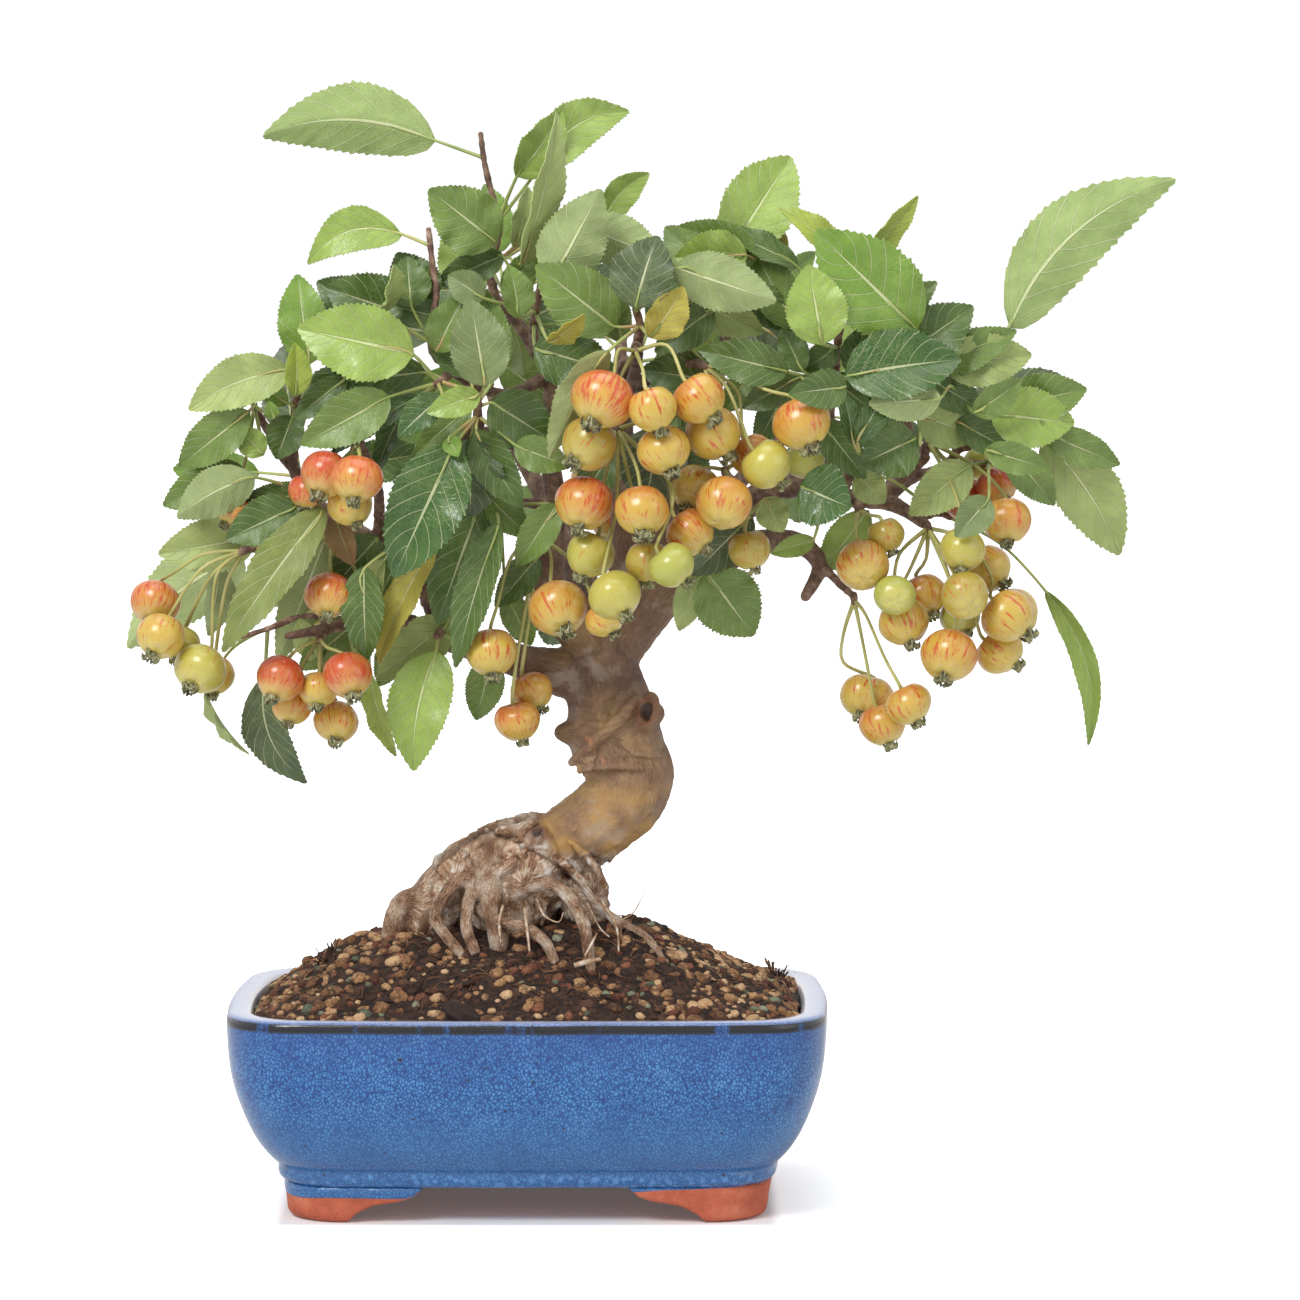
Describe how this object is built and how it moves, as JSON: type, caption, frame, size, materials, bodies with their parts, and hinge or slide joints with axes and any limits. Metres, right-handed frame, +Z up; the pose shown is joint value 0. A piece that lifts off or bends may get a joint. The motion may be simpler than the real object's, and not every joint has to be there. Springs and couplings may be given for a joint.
{
  "type": "crabapple bonsai",
  "caption": "Crabapple bonsai in fruit: leaning kinked trunk, exposed roots on a soil mound, toothed leaves and hanging apples, in a blue glazed footed pot",
  "frame": {"origin": "middle of the bottom of the part's box, on the surface that the pot's feet stand on", "axes": "+Z up, front of the tree towards -Y, +X to the right as seen from the front"},
  "size_m": [0.434, 0.2326, 0.4579],
  "materials": {
    "glaze": "glossy mottled blue glaze over terracotta, feet bare",
    "soil": "moist granules of pumice, lava, bark and peat",
    "bark": "grey-brown bark, paler on the roots",
    "mesh_plastic": "moulded mesh",
    "fruit": "waxy apple skin, yellow blushed with orange and red",
    "leaf": "toothed green leaves, paler underneath"
  },
  "bodies": {
    "root": {"bunch_back": "fruit", "bunch_back_left": "fruit", "bunch_far_left": "fruit", "bunch_far_right": "fruit", "bunch_front": "fruit", "bunch_front_right": "fruit", "bunch_left": "fruit", "bunch_left_inner": "fruit", "bunch_low_left": "fruit", "bunch_low_right": "fruit", "bunch_middle": "fruit", "bunch_over_trunk": "fruit", "bunch_right": "fruit", "bunch_right_of_middle": "fruit", "bunch_single_left": "fruit", "bunch_under_fork": "fruit", "drain_screen_left": "mesh_plastic", "drain_screen_right": "mesh_plastic", "pot": "glaze", "soil": "soil", "spray_back_crown": "leaf", "spray_back_crown_left": "leaf", "spray_back_far_right": "leaf", "spray_back_left": "leaf", "spray_back_middle": "leaf", "spray_back_right": "leaf", "spray_behind_fruits": "leaf", "spray_centre_inner": "leaf", "spray_centre_spur": "leaf", "spray_crown_front": "leaf", "spray_crown_right": "leaf", "spray_crown_tip": "leaf", "spray_left_centre": "leaf", "spray_left_cut_twig": "leaf", "spray_left_end": "leaf", "spray_left_limb": "leaf", "spray_left_middle": "leaf", "spray_left_spur": "leaf", "spray_left_upper": "leaf", "spray_low_left_end": "leaf", "spray_low_left_inner": "leaf", "spray_low_left_mid": "leaf", "spray_over_front_bunch": "leaf", "spray_right_end": "leaf", "spray_right_hanging": "leaf", "spray_right_high": "leaf", "spray_right_inner": "leaf", "spray_right_rosette": "leaf", "spray_right_side": "leaf", "spray_right_stub": "leaf", "spray_right_twig": "leaf", "spray_top_left": "leaf", "spray_top_right": "leaf", "spray_under_middle": "leaf", "spray_under_right": "leaf", "wood": "bark"}
  },
  "joints": []
}
